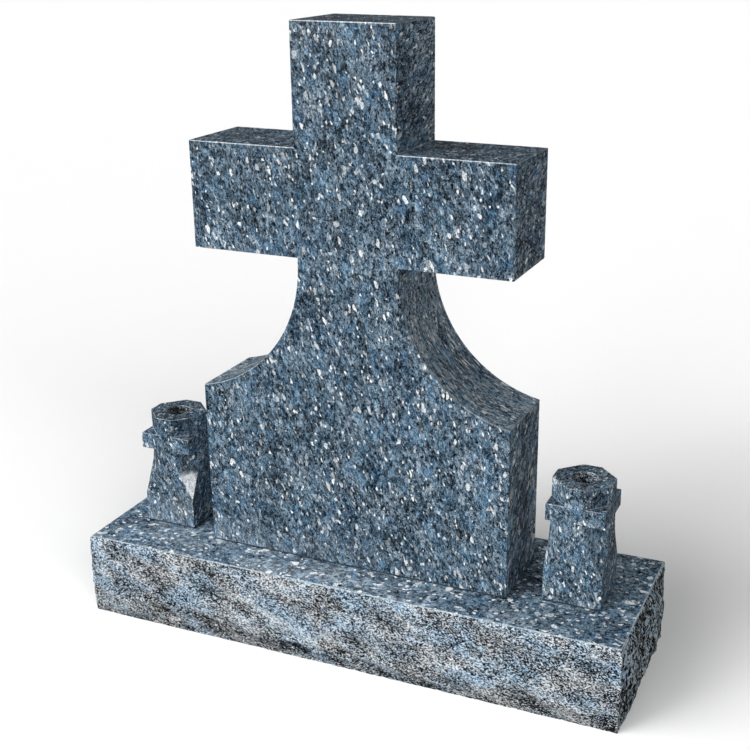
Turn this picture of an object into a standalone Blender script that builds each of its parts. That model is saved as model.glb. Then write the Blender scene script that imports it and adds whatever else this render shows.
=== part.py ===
"""Cross headstone: a cross tablet and two flower vases of polished granite on a rock-faced base.

Units are metres, with +Z up and the tablet's front towards -Y. The origin is at the middle of the base's
underside, where the stone sits on its foundation. Four stones are bedded together: the base, the cross
tablet cut as one slab, and the two vases.
"""

import math

import bmesh
import bpy
from mathutils import Matrix, Vector, noise

COLLECTION_NAME = "cross_headstone"
CUTTERS_NAME = "cutters"

# Cross tablet, one slab, heights measured from its own foot
TABLET_WIDTH = 0.560
TABLET_THICKNESS = 0.153
STEM_WIDTH = 0.1775
ARM_UNDERSIDE = 0.5435
ARM_HEIGHT = 0.178
HEAD_HEIGHT = 0.1925
SWEEP_RADIUS = 0.2355
SWEEP_BELOW_ARM = 0.0125
SWEEP_SEGMENTS = 30

# Base, with a ledge round the tablet and room at each end for a vase
BASE_HEIGHT = 0.1525
LEDGE = 0.0755
TABLET_TO_VASE = 0.055
VASE_TO_END = 0.059
VASE_FORWARD = 0.006

# Broken faces of the base, pitched off with a chisel below a straight top edge
ROCK_CELL = 0.0145
ROCK_SWELL = 0.0115
ROCK_SWELL_ENDS = 0.0065
ROCK_FULLNESS = 1.7
ROCK_FULLNESS_ENDS = 4.5
ROCK_FOOT_ENDS = 0.3
ROCK_CREST_HEIGHT = 0.047
ROCK_CREST_FALL = 0.014
ROCK_CREST_WANDER = 0.018
ROCK_WANDER_LENGTH = 0.17
ROCK_SCAR_DEPTH = 0.0055
ROCK_SCAR_LENGTH = 0.110
ROCK_SCAR_HEIGHT = 0.036
ROCK_SCAR_SLOPE = 0.36
ROCK_EDGE_RUN = 0.022
ROCK_CORNER_RUN = 0.045
ROCK_CORNER_SHARE = 0.15
ROCK_SEED = Vector((3.7, 11.2, 5.1))

# Vases: square blocks whose corners are cut away above and below a band of square lugs
VASE_WIDTH = 0.100
FOOT_HEIGHT = 0.054
STOP_HEIGHT = 0.046
FLARE_HEIGHT = 0.047
LUG_HEIGHT = 0.029
RIM_HEIGHT = 0.0335
STOP_DEPTH = 0.0165
FLARE_DEPTH = 0.0077
FLARE_SEGMENTS = 9
WELL_DIAMETER = 0.044
WELL_FLOOR = 0.070
WELL_SIDES = 40

# Fits and finish
BED_GAP = 0.0003
ARRIS = 0.0016
VASE_ARRIS = 0.0009
SHARP = math.radians(18)
CUT_OVERRUN = 0.012
ON_PLANE = 1e-6

POLISHED_COLOUR = (0.085, 0.135, 0.19, 1.0)
ROCK_COLOUR = (0.22, 0.27, 0.32, 1.0)

# Sizes and places worked out from those above
ARM_TOP = ARM_UNDERSIDE + ARM_HEIGHT
TABLET_HEIGHT = ARM_TOP + HEAD_HEIGHT
BASE_WIDTH = TABLET_WIDTH + 2 * (TABLET_TO_VASE + VASE_WIDTH + VASE_TO_END)
BASE_DEPTH = TABLET_THICKNESS + 2 * LEDGE
BED_HEIGHT = BASE_HEIGHT + BED_GAP
VASE_X = TABLET_WIDTH / 2 + TABLET_TO_VASE + VASE_WIDTH / 2
STOP_TOP = FOOT_HEIGHT + STOP_HEIGHT
LUG_BOTTOM = STOP_TOP + FLARE_HEIGHT
LUG_TOP = LUG_BOTTOM + LUG_HEIGHT
VASE_HEIGHT = LUG_TOP + RIM_HEIGHT
CORNER_CUT = STOP_DEPTH + FLARE_DEPTH


def new_collection(name):
    """Makes a collection in the scene and returns it."""
    collection = bpy.data.collections.new(name)
    bpy.context.scene.collection.children.link(collection)
    return collection


def new_material(name, colour, roughness):
    """Makes a Principled material with one colour and roughness."""
    material = bpy.data.materials.new(name)
    material.use_nodes = True
    shader = material.node_tree.nodes["Principled BSDF"]
    shader.inputs["Base Color"].default_value = colour
    shader.inputs["Roughness"].default_value = roughness
    shader.inputs["Metallic"].default_value = 0.0
    return material


def new_object(name, bm, collection, materials=()):
    """Turns a bmesh into a named object in a collection."""
    mesh = bpy.data.meshes.new(name)
    bm.to_mesh(mesh)
    bm.free()
    for material in materials:
        mesh.materials.append(material)
    obj = bpy.data.objects.new(name, mesh)
    collection.objects.link(obj)
    return obj


def clear_scene():
    """Removes whatever the scene holds."""
    for obj in list(bpy.data.objects):
        bpy.data.objects.remove(obj)


def slab_from_outline(name, outline, thickness, collection):
    """Extrudes a closed outline of (across, up) points to a slab standing in the XZ plane, as a welded mesh."""
    curve = bpy.data.curves.new(name, "CURVE")
    curve.dimensions = "2D"
    curve.fill_mode = "BOTH"
    curve.extrude = thickness / 2
    spline = curve.splines.new("POLY")
    spline.points.add(len(outline) - 1)
    for point, (across, up) in zip(spline.points, outline):
        point.co = (across, up, 0.0, 1.0)
    spline.use_cyclic_u = True
    drawn = bpy.data.objects.new(name + "_outline", curve)
    drawn.rotation_euler = (math.pi / 2, 0.0, 0.0)
    collection.objects.link(drawn)
    bpy.context.view_layer.update()
    mesh = bpy.data.meshes.new_from_object(drawn.evaluated_get(bpy.context.evaluated_depsgraph_get()))
    mesh.transform(drawn.matrix_world)
    bpy.data.objects.remove(drawn)
    bm = bmesh.new()
    bm.from_mesh(mesh)
    bpy.data.meshes.remove(mesh)
    bmesh.ops.remove_doubles(bm, verts=bm.verts, dist=1e-6)
    bmesh.ops.dissolve_limit(bm, angle_limit=1e-4, verts=bm.verts, edges=bm.edges)
    bmesh.ops.recalc_face_normals(bm, faces=bm.faces)
    return bm


def ease_edges(obj, width):
    """Takes the sharpness off every outer edge with one narrow flat, as a mason's arris."""
    bm = bmesh.new()
    bm.from_mesh(obj.data)
    weight = bm.edges.layers.float.new("bevel_weight_edge")
    for edge in bm.edges:
        outer = edge.is_manifold and edge.is_convex and edge.calc_face_angle(0.0) > SHARP
        edge[weight] = 1.0 if outer else 0.0
    bm.to_mesh(obj.data)
    bm.free()
    bevel = obj.modifiers.new("arris", "BEVEL")
    bevel.limit_method = "WEIGHT"
    bevel.width = width
    bevel.segments = 1
    bevel.miter_outer = "MITER_SHARP"


def sweep_points():
    """Right-hand sweep from the stem out to the shoulder, as (x, z) from top to bottom."""
    centre_x = STEM_WIDTH / 2 + SWEEP_RADIUS
    centre_z = ARM_UNDERSIDE - SWEEP_BELOW_ARM
    end = math.acos((centre_x - TABLET_WIDTH / 2) / SWEEP_RADIUS)
    turns = (end * i / SWEEP_SEGMENTS for i in range(SWEEP_SEGMENTS + 1))
    return [
        (centre_x - SWEEP_RADIUS * math.cos(turn), centre_z - SWEEP_RADIUS * math.sin(turn))
        for turn in turns
    ]


def tablet_outline():
    """Whole outline of the cross and its swept shoulders, walked round from the top right corner."""
    half_stem = STEM_WIDTH / 2
    half_width = TABLET_WIDTH / 2
    right = [
        (half_stem, TABLET_HEIGHT),
        (half_stem, ARM_TOP),
        (half_width, ARM_TOP),
        (half_width, ARM_UNDERSIDE),
        (half_stem, ARM_UNDERSIDE),
        *sweep_points(),
        (half_width, 0.0),
    ]
    left = [(-x, z) for x, z in reversed(right)]
    return right + left


def make_tablet(collection, material):
    """Cross tablet: one slab with square arms and two quarter-round sweeps under them."""
    bm = slab_from_outline("cross_tablet", tablet_outline(), TABLET_THICKNESS, collection)
    tablet = new_object("cross_tablet", bm, collection, [material])
    tablet.location = (0.0, 0.0, BED_HEIGHT)
    ease_edges(tablet, ARRIS)
    return tablet


def smooth_step(value):
    """0 below 0, 1 above 1, and a soft rise between."""
    value = min(max(value, 0.0), 1.0)
    return value * value * (3 - 2 * value)


def rock_crest(along, half_length, side):
    """Height of the face's fullest line, which falls slowly from left to right and wanders."""
    wander = noise.noise(Vector((along / ROCK_WANDER_LENGTH, side, 0.0)) + ROCK_SEED)
    return ROCK_CREST_HEIGHT - ROCK_CREST_FALL * along / half_length + ROCK_CREST_WANDER * wander


def rock_profile(height, crest, fullness, foot_share):
    """Share of the swell at a height: none at the top edge, all at the crest, drawn in again at the foot."""
    if height >= crest:
        return 1.0 - ((height - crest) / (BASE_HEIGHT - crest)) ** fullness
    return foot_share + (1.0 - foot_share) * smooth_step(height / crest)


def rock_scars(along, height, side):
    """Long slanting scars that the chisel left, from -1 in the hollows to about 1 on the ridges."""
    sheared = height + ROCK_SCAR_SLOPE * along
    at = Vector((along / ROCK_SCAR_LENGTH, sheared / ROCK_SCAR_HEIGHT, side)) + ROCK_SEED
    warp = 0.7 * noise.noise(at * 0.6)
    ridge = 1.0 - 2.6 * abs(noise.noise(at + Vector((warp, -warp, 0.0))))
    return ridge + 0.5 * noise.noise(at * 2.1)


def rock_face(along, height, half_length, side, swell, fullness, foot_share):
    """How far one broken face stands out from the sawn block, in metres."""
    crest = rock_crest(along, half_length, side)
    body = swell * rock_profile(height, crest, fullness, foot_share)
    edge = smooth_step((BASE_HEIGHT - height) / ROCK_EDGE_RUN)
    foot = foot_share + (1.0 - foot_share) * smooth_step(height / ROCK_EDGE_RUN)
    corner = smooth_step((half_length - abs(along)) / ROCK_CORNER_RUN)
    corner = ROCK_CORNER_SHARE + (1.0 - ROCK_CORNER_SHARE) * corner
    return corner * (body + edge * foot * ROCK_SCAR_DEPTH * rock_scars(along, height, side))


def rock_offset(point):
    """Outward move of a point on the base's wall. A corner point belongs to two faces and takes both moves."""
    half_width = BASE_WIDTH / 2
    half_depth = BASE_DEPTH / 2
    offset = Vector((0.0, 0.0, 0.0))
    if abs(abs(point.y) - half_depth) < ON_PLANE:
        out = math.copysign(1.0, point.y)
        offset.y = out * rock_face(point.x, point.z, half_width, 2.0 * out, ROCK_SWELL, ROCK_FULLNESS, 0.0)
    if abs(abs(point.x) - half_width) < ON_PLANE:
        out = math.copysign(1.0, point.x)
        offset.x = out * rock_face(
            point.y, point.z, half_depth, 5.0 * out, ROCK_SWELL_ENDS, ROCK_FULLNESS_ENDS, ROCK_FOOT_ENDS
        )
    return offset


def cut_in_cells(bm, axis, length, middle):
    """Cuts the mesh across one axis into equal cells no longer than ROCK_CELL."""
    count = max(1, math.ceil(length / ROCK_CELL))
    for i in range(1, count):
        place = middle - length / 2 + length * i / count
        bmesh.ops.bisect_plane(
            bm,
            geom=bm.verts[:] + bm.edges[:] + bm.faces[:],
            plane_co=axis * place,
            plane_no=axis,
        )


def make_base(collection, polished, rock):
    """Base: a block with a polished top, a sawn underside and four rock-faced walls."""
    bm = bmesh.new()
    size = Matrix.Diagonal((BASE_WIDTH, BASE_DEPTH, BASE_HEIGHT, 1.0))
    bmesh.ops.create_cube(bm, size=1.0, matrix=Matrix.Translation((0.0, 0.0, BASE_HEIGHT / 2)) @ size)
    flats = [face for face in bm.faces if abs(face.normal.z) > 0.5]
    bmesh.ops.delete(bm, geom=flats, context="FACES_ONLY")
    cut_in_cells(bm, Vector((1.0, 0.0, 0.0)), BASE_WIDTH, 0.0)
    cut_in_cells(bm, Vector((0.0, 1.0, 0.0)), BASE_DEPTH, 0.0)
    cut_in_cells(bm, Vector((0.0, 0.0, 1.0)), BASE_HEIGHT, BASE_HEIGHT / 2)
    for vert in bm.verts:
        vert.co += rock_offset(vert.co.copy())
    bmesh.ops.holes_fill(bm, edges=[edge for edge in bm.edges if edge.is_boundary])
    bmesh.ops.recalc_face_normals(bm, faces=bm.faces)
    for face in bm.faces:
        face.material_index = 0 if face.normal.z > 0.9 else 1
    return new_object("rock_faced_base", bm, collection, [polished, rock])


def corner_cutter(name, profile, collection):
    """Closed cutter from a (depth from the corner, height) profile, made long enough to cross a vase's corner."""
    bm = slab_from_outline(name, profile, VASE_WIDTH, collection)
    cutter = new_object(name, bm, collection)
    cutter.hide_render = True
    cutter.display_type = "WIRE"
    return cutter


def upper_cut_profile():
    """What is taken off a corner above the lugs: a plain chamfer up through the rim."""
    return [
        (-CUT_OVERRUN, LUG_TOP),
        (CORNER_CUT, LUG_TOP),
        (CORNER_CUT, VASE_HEIGHT + CUT_OVERRUN),
        (-CUT_OVERRUN, VASE_HEIGHT + CUT_OVERRUN),
    ]


def lower_cut_profile():
    """What is taken off a corner below the lugs: upright at the lug, flared out, then a flat stop to the corner."""
    radius = (FLARE_HEIGHT**2 + FLARE_DEPTH**2) / (2 * FLARE_DEPTH)
    sweep = math.asin(FLARE_HEIGHT / radius)
    arc = []
    for i in range(FLARE_SEGMENTS + 1):
        turn = sweep * i / FLARE_SEGMENTS
        arc.append((CORNER_CUT - radius * (1 - math.cos(turn)), LUG_BOTTOM - radius * math.sin(turn)))
    past_tip = FOOT_HEIGHT - CUT_OVERRUN * STOP_HEIGHT / STOP_DEPTH
    return [(-CUT_OVERRUN, LUG_BOTTOM), *arc, (-CUT_OVERRUN, past_tip)]


def place_on_corner(cutter, quarter):
    """Turns a cutter so that its depth runs in from one of the four upright corners of a vase."""
    turn = math.pi / 4 + quarter * math.pi / 2
    corner = VASE_WIDTH / 2 * math.sqrt(2)
    cutter.data.transform(Matrix.Rotation(turn, 4, "Z") @ Matrix.Translation((corner, 0.0, 0.0)))


def corner_cutters(cutters):
    """Eight cutters: above and below the lug on each corner of a vase that stands at the origin."""
    made = []
    for quarter in range(4):
        for level, profile in (("upper", upper_cut_profile()), ("lower", lower_cut_profile())):
            inward = [(-depth, height) for depth, height in profile]
            cutter = corner_cutter(f"corner_{quarter}_{level}", inward, cutters)
            place_on_corner(cutter, quarter)
            made.append(cutter)
    return made


def well_cutter(cutters):
    """Drill for the flower well, run out past the rim."""
    bm = bmesh.new()
    depth = VASE_HEIGHT - WELL_FLOOR + CUT_OVERRUN
    bmesh.ops.create_cone(
        bm,
        cap_ends=True,
        segments=WELL_SIDES,
        radius1=WELL_DIAMETER / 2,
        radius2=WELL_DIAMETER / 2,
        depth=depth,
        matrix=Matrix.Translation((0.0, 0.0, WELL_FLOOR + depth / 2)),
    )
    cutter = new_object("well", bm, cutters)
    cutter.hide_render = True
    cutter.display_type = "WIRE"
    return cutter


def cut_away(obj, cutters):
    """Subtracts each cutter and leaves the result as the object's own mesh."""
    for cutter in cutters:
        boolean = obj.modifiers.new(cutter.name, "BOOLEAN")
        boolean.operation = "DIFFERENCE"
        boolean.solver = "EXACT"
        boolean.object = cutter
    bpy.context.view_layer.update()
    cut = bpy.data.meshes.new_from_object(obj.evaluated_get(bpy.context.evaluated_depsgraph_get()))
    obj.modifiers.clear()
    bm = bmesh.new()
    bm.from_mesh(cut)
    bpy.data.meshes.remove(cut)
    bmesh.ops.remove_doubles(bm, verts=bm.verts, dist=1e-5)
    bmesh.ops.dissolve_limit(bm, angle_limit=1e-3, verts=bm.verts, edges=bm.edges)
    bm.to_mesh(obj.data)
    bm.free()


def make_vases(collection, cutters, material):
    """Two alike vases, one at each end of the tablet."""
    bm = bmesh.new()
    size = Matrix.Diagonal((VASE_WIDTH, VASE_WIDTH, VASE_HEIGHT, 1.0))
    bmesh.ops.create_cube(bm, size=1.0, matrix=Matrix.Translation((0.0, 0.0, VASE_HEIGHT / 2)) @ size)
    left = new_object("vase_left", bm, collection, [material])
    cut_away(left, [*corner_cutters(cutters), well_cutter(cutters)])
    ease_edges(left, VASE_ARRIS)
    left.location = (-VASE_X, -VASE_FORWARD, BED_HEIGHT)
    right = left.copy()
    right.data = left.data.copy()
    right.name = "vase_right"
    right.location.x = VASE_X
    collection.objects.link(right)


def main():
    """Builds the four stones."""
    clear_scene()
    collection = new_collection(COLLECTION_NAME)
    cutters = new_collection(CUTTERS_NAME)
    polished = new_material("polished_granite", POLISHED_COLOUR, 0.12)
    rock = new_material("rock_faced_granite", ROCK_COLOUR, 0.85)
    make_base(collection, polished, rock)
    make_tablet(collection, polished)
    make_vases(collection, cutters, polished)


main()
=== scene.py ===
"""Looks of the cross headstone: four stones of polished and rock-faced granite in a plain pale studio.

Units are metres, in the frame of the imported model, with +Z up and the tablet's front towards -Y. The stones
are larvikite, a coarse feldspar rock that the trade sells as blue granite. Each stone is one class: it takes
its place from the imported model, is modelled at that place and is then dressed with its finishes.
"""

import logging
import math
from collections.abc import Callable, Iterable, Iterator, Mapping, Sequence
from contextlib import contextmanager
from dataclasses import dataclass, field
from enum import Enum, IntEnum
from typing import Protocol

import bmesh
import bpy
from mathutils import Matrix, Vector, noise


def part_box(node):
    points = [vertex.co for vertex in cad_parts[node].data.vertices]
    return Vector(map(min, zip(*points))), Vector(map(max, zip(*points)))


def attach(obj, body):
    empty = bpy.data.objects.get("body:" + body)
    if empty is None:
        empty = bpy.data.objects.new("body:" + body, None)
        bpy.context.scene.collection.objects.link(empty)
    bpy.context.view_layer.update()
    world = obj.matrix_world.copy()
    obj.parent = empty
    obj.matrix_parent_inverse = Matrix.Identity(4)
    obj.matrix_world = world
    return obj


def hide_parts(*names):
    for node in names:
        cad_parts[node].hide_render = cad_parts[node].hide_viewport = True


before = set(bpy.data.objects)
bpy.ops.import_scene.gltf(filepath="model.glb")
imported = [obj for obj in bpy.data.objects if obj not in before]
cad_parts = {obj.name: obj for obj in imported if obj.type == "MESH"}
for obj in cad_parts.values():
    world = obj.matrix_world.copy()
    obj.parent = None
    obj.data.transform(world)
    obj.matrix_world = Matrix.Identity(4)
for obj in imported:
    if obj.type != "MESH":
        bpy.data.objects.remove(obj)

LOG = logging.getLogger("headstone")
BODY = "root"
UP = Vector((0.0, 0.0, 1.0))

# Sockets of the Mix node when it mixes colours
MIX_FACTOR = 0
MIX_FIRST = 6
MIX_SECOND = 7
MIX_RESULT = 2

# Tones of polished larvikite, from its specks to its palest crystals
POLISHED = ("#090d14", "#1f2932", "#36434f", "#4d5f6e", "#657a8c", "#7f93a4", "#99abb9", "#c3d0d9")

# Tints of stone that is sawn across its crystals and flashes little blue
DULL_TINTS = ((0.22, "#ebeae8"), (0.50, "#dfe5e8"), (0.80, "#bad9ee"))

# What each point of the broken walls keeps for their finish, which paints light and shade from it: relief
# paints ridges paler and hollows darker, foot paints shade on the drawn-in foot, edge paints a highlight
# along the top edge
WALL_LAYERS = ("relief", "foot", "edge")

# Turns above which an edge is sharp: one that a mason eases, one in a sawn sweep, and one in broken stone
SHARP = math.radians(30)
CURVED = math.radians(8)
CRUMBLED = math.radians(35)

# Metres that a cutter stands out of the stone, and within which two places are one
OVERRUN = 0.012
TOUCH = 1e-5

# Strips that round an arris
ARRIS_STEPS = 3

# Least part of a direction along an axis where it runs that way, points that way, or leans that way at all
ALONG = 0.98
POINTING = 0.2
LEANING = 0.02

# Material slots of each stone, in the order in which it gets its finishes
TabletSlot = IntEnum("TabletSlot", "FACES ARRISES JOINT ENDS TOPS RIGHT_SWEEP LEFT_SWEEP DIE_SIDES", start=0)
BaseSlot = IntEnum("BaseSlot", "TOP LONG_WALLS ENDS ARRIS", start=0)
VaseSlot = IntEnum("VaseSlot", "FACES ARRISES WELL JOINT", start=0)

Piece = bpy.types.Object
Node = bpy.types.Node
Socket = bpy.types.NodeSocket
Tree = bpy.types.NodeTree
Colour = tuple[float, float, float, float]
Stops = Sequence[tuple[float, str]]
Span = tuple[float, float]


class Element(Enum):
    """Kinds of mesh element that a selection is made of."""

    EDGE = "EDGE"
    FACE = "FACE"


def linear(colour: str) -> Colour:
    """Turns an sRGB hex colour into linear light.

    Args:
        colour: Six hex digits after a hash sign.

    Returns:
        Red, green, blue and an alpha of 1, each from 0 to 1.
    """
    parts = [int(colour[i : i + 2], 16) / 255 for i in (1, 3, 5)]
    red, green, blue = (c / 12.92 if c <= 0.04045 else ((c + 0.055) / 1.055) ** 2.4 for c in parts)
    return red, green, blue, 1.0


def wire(node: Node, inputs: Mapping[str | int, object]) -> None:
    """Gives a node's sockets their values and links.

    Args:
        node: The node.
        inputs: For each input socket, by name or number, a value or the output socket that feeds it.
    """
    for socket, value in inputs.items():
        if isinstance(value, Socket):
            node.id_data.links.new(value, node.inputs[socket])
        else:
            node.inputs[socket].default_value = value


def add_node(
    tree: Tree,
    kind: str,
    inputs: Mapping[str | int, object] | None = None,
    stops: Stops = (),
    **settings: object,
) -> Node:
    """Adds a node, with its settings, its sockets' values and its links.

    Args:
        tree: The tree that the node goes into.
        kind: The node's type name, less the word ShaderNode that all of them start with.
        inputs: What goes into its input sockets.
        stops: Places and hex colours of a colour ramp.
        settings: The node's own properties.

    Returns:
        The new node.
    """
    node = tree.nodes.new("ShaderNode" + kind)
    for name, value in settings.items():
        setattr(node, name, value)
    wire(node, inputs or {})
    for number, (place, colour) in enumerate(stops):
        points = node.color_ramp.elements
        point = points[number] if number < 2 else points.new(place)
        point.position = place
        point.color = linear(colour)
    return node


def stone_material(name: str) -> tuple[bpy.types.Material, Node]:
    """Starts a material.

    Args:
        name: The finish's name.

    Returns:
        The material and its Principled shader.
    """
    material = bpy.data.materials.new(name)
    material.use_nodes = True
    return material, material.node_tree.nodes["Principled BSDF"]


class Finish(Protocol):
    """Any finish: polished or pitched stone, or setting compound with painted contact shade."""

    def build(self) -> bpy.types.Material:
        """Makes the material."""


@dataclass(frozen=True)
class Lay:
    """How a stone's crystals lie: the pattern's start, its tilt and its stretch along the tilted axes."""

    start: tuple[float, float, float] = (0.0, 0.0, 0.0)
    tilt_degrees: tuple[float, float, float] = (-30.0, -17.0, 0.0)
    stretch: tuple[float, float, float] = (1.0, 1.35, 2.3)

    def coordinates(self, tree: Tree, wander: float, wander_length: float) -> Socket:
        """Coordinates in the stone, laid along its crystals and wandering, so that no edge is straight.

        Args:
            tree: The material's tree.
            wander: How far a point moves, in metres.
            wander_length: Length over which the move changes, in metres.

        Returns:
            The output socket with the coordinates, in metres.
        """
        turns = [math.radians(turn) for turn in self.tilt_degrees]
        place = add_node(tree, "TexCoord").outputs["Object"]
        lay = {"Vector": place, "Location": self.start, "Rotation": turns, "Scale": self.stretch}
        laid = add_node(tree, "Mapping", lay, vector_type="TEXTURE").outputs[0]
        drift = add_node(tree, "TexNoise", {"Vector": laid, "Scale": 1 / wander_length})
        move = {0: drift.outputs["Color"], 1: (wander, wander, wander), 2: laid}
        return add_node(tree, "VectorMath", move, operation="MULTIPLY_ADD").outputs[0]


def weighted_sum(tree: Tree, parts: Iterable[tuple[Socket, float]], start: float) -> Socket:
    """Adds up sockets, each times its weight.

    Args:
        tree: The material's tree.
        parts: Pairs of a socket and its weight.
        start: What the sum starts from.

    Returns:
        The socket with the sum.
    """
    total: Socket | float = start
    for socket, weight in parts:
        total = add_node(tree, "Math", {0: socket, 1: weight, 2: total}, operation="MULTIPLY_ADD").outputs[0]
    return total


def grain_chances(tree: Tree, place: Socket, size: float) -> Sequence[Socket]:
    """Parts the stone into grains and gives each one three chances of its own.

    Args:
        tree: The material's tree.
        place: Coordinates in the stone.
        size: The grains' size in metres.

    Returns:
        Three sockets, each with a number from 0 to 1 that is the same all over a grain.
    """
    grains = add_node(tree, "TexVoronoi", {"Vector": place, "Scale": 1 / size})
    return add_node(tree, "SeparateColor", {0: grains.outputs["Color"]}).outputs


def stone_colour(tree: Tree, tone: Socket, tones: Stops, blueness: Socket, tints: Stops) -> Socket:
    """Colours stone: crystals of one tone differ in hue, from warm grey to clear blue.

    Args:
        tree: The material's tree.
        tone: Where a point lies on the ramp of tones.
        tones: The ramp of tones, from dark to pale.
        blueness: Where a point lies on the ramp of tints.
        tints: The ramp of tints, from warm to blue.

    Returns:
        The socket with the colour.
    """
    shade, hue = (
        add_node(tree, "ValToRGB", {"Fac": value}, stops=stops).outputs[0]
        for value, stops in ((tone, tones), (blueness, tints))
    )
    mix = {MIX_FACTOR: 1.0, MIX_FIRST: shade, MIX_SECOND: hue}
    return add_node(tree, "Mix", mix, data_type="RGBA", blend_type="MULTIPLY").outputs[MIX_RESULT]


@dataclass(frozen=True)
class PolishedLarvikite:
    """Larvikite, sawn and polished.

    To the eye it is a tight mosaic of steel-blue and grey feldspar, a few millimetres across, with clusters
    of near-black mafic specks, soft pale blotches, and here and there a crystal that flashes silver; that
    flash is a painted glint, put into the colour. Sizes are in metres. A span runs from where a pattern
    shows nothing of a feature to where it shows all of it.
    """

    name: str
    lay: Lay = Lay()
    crystal: float = 0.0050
    chip: float = 0.0027
    lamella: float = 0.0013
    speck: float = 0.0019
    cloud: float = 0.050
    patch: float = 0.022
    blotch: float = 0.014
    wander_share: float = 0.7
    blotch_span: Span = (0.58, 0.78)
    speck_span: Span = (0.10, 0.04)
    crowd_span: Span = (0.62, 0.42)
    lamella_span: Span = (0.38, 0.52)
    dullest_flash: float = 0.45
    flash_fade: Span = (0.035, 0.004)
    flash_share: float = 0.006
    roughness: float = 0.17
    gloss_span: Span = (-0.03, 0.05)
    pit_strength: float = 0.10
    pit_depth: float = 0.0004
    ior: float = 1.5
    specular: float = 0.3
    lift: float = 0.008
    tone_start: float = -0.465
    blue_start: float = -0.27
    tones: Stops = tuple(zip((0.20, 0.30, 0.40, 0.50, 0.60, 0.70, 0.80, 0.94), POLISHED))
    tints: Stops = ((0.22, "#efe9e4"), (0.50, "#e3e5e5"), (0.80, "#bcdcf0"))
    flash: str = "#f4f6f6"

    def build(self) -> bpy.types.Material:
        """Makes the material.

        Half as many crystals flash as chips do, and lamellae break each flash up. Specks crowd where patches
        are dull.

        Returns:
            The material.
        """
        material, shader = stone_material(self.name)
        tree = material.node_tree
        place = self.lay.coordinates(tree, self.wander_share * self.crystal, self.crystal)
        sizes = (self.crystal, self.chip, self.speck)
        crystal, chip, speck = (grain_chances(tree, place, size) for size in sizes)
        lamellae, clouds, patches, blotches = (
            add_node(tree, "TexNoise", {"Vector": place, "Scale": 1 / size, "Detail": detail}).outputs["Fac"]
            for size, detail in ((self.lamella, 1), (self.cloud, 2), (self.patch, 2), (self.blotch, 2))
        )
        shares = []
        for value, (low, high), least in (
            (blotches, self.blotch_span, 0.0),
            (speck[0], self.speck_span, 0.0),
            (patches, self.crowd_span, 0.0),
            (crystal[2], self.flash_span(self.flash_share / 2), 0.0),
            (chip[2], self.flash_span(self.flash_share), 0.0),
            (lamellae, self.lamella_span, self.dullest_flash),
        ):
            span = {"Value": value, "From Min": low, "From Max": high, "To Min": least}
            shares.append(add_node(tree, "MapRange", span).outputs[0])
        pale, specks, crowd, crystal_flash, chip_flash, broken = shares
        flash = add_node(tree, "Math", {0: crystal_flash, 1: chip_flash}, operation="MAXIMUM").outputs[0]
        crowded_specks, broken_flash = (
            add_node(tree, "Math", {0: first, 1: second}, operation="MULTIPLY").outputs[0]
            for first, second in ((specks, crowd), (flash, broken))
        )
        layers = (
            (crystal[0], 0.24), (chip[0], 0.30), (lamellae, 1.00),
            (clouds, 0.40), (pale, 0.26), (crowded_specks, -0.50),
        )
        tone = weighted_sum(tree, layers, self.lift + self.tone_start)
        blueness = weighted_sum(tree, ((chip[1], 0.45), (patches, 1.10)), self.blue_start)
        stone = stone_colour(tree, tone, self.tones, blueness, self.tints)
        # Painted glint: the flashing crystals' silver schiller is mixed into the base colour
        mix = {MIX_FACTOR: broken_flash, MIX_FIRST: stone, MIX_SECOND: linear(self.flash)}
        smooth, rough = (self.roughness + step for step in self.gloss_span)
        gloss = add_node(tree, "MapRange", {"Value": chip[1], "To Min": smooth, "To Max": rough})
        pits = {"Strength": self.pit_strength, "Distance": self.pit_depth, "Height": lamellae}
        wire(
            shader,
            {
                "Base Color": add_node(tree, "Mix", mix, data_type="RGBA").outputs[MIX_RESULT],
                "Roughness": gloss.outputs[0],
                "Normal": add_node(tree, "Bump", pits).outputs[0],
                "IOR": self.ior,
                "Specular IOR Level": self.specular,
            },
        )
        return material

    def flash_span(self, share: float) -> Span:
        """Span of the highest chances, with soft ends, in which a share of all grains lies."""
        below, above = self.flash_fade
        return 1 - share - below, 1 - share + above


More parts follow.
